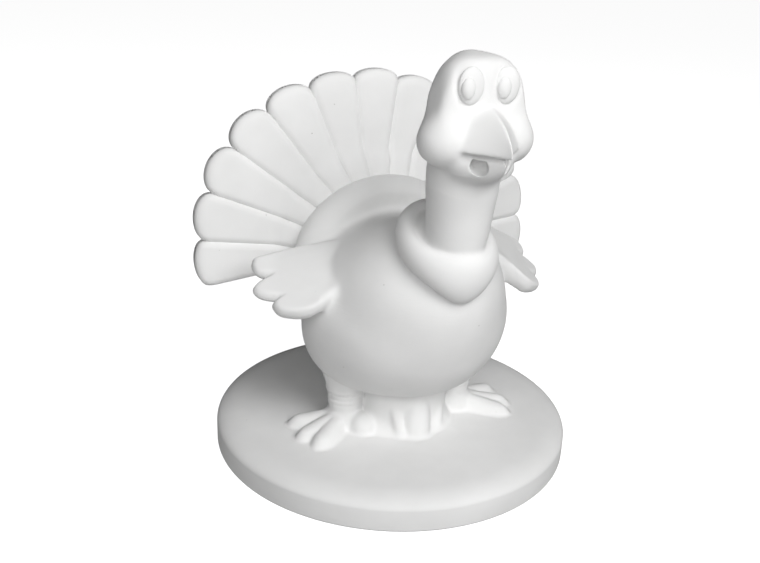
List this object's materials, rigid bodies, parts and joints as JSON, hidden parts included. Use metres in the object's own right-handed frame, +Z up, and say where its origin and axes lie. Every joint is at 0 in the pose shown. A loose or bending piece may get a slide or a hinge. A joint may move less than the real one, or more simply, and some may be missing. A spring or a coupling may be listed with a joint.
{
  "type": "turkey figurine",
  "caption": "White unglazed earthenware turkey with a fanned tail, spread wings and a gaping beak, standing on a round plinth, to display or to paint.",
  "frame": {"origin": "middle of the plinth's flat underside", "axes": "+Z up, the bird faces -Y, +X towards the bird's left wing"},
  "size_m": [0.1233, 0.1233, 0.1358],
  "materials": {
    "bisque": "matte, unglazed, fired once"
  },
  "bodies": {
    "root": {"base_plinth": "bisque", "belly_prop": "bisque", "right_leg": "bisque", "right_foot": "bisque", "left_leg": "bisque", "left_foot": "bisque", "body_shell": "bisque", "tail_feather_01": "bisque", "tail_feather_02": "bisque", "tail_feather_03": "bisque", "tail_feather_04": "bisque", "tail_feather_05": "bisque", "tail_feather_06": "bisque", "tail_feather_07": "bisque", "tail_feather_08": "bisque", "tail_feather_09": "bisque", "tail_feather_10": "bisque", "tail_feather_11": "bisque", "tail_feather_12": "bisque", "tail_feather_13": "bisque", "right_wing": "bisque", "left_wing": "bisque", "collar": "bisque", "neck": "bisque", "head": "bisque", "right_eye": "bisque", "right_pupil": "bisque", "left_eye": "bisque", "left_pupil": "bisque", "upper_beak": "bisque", "lower_beak": "bisque"}
  },
  "joints": []
}
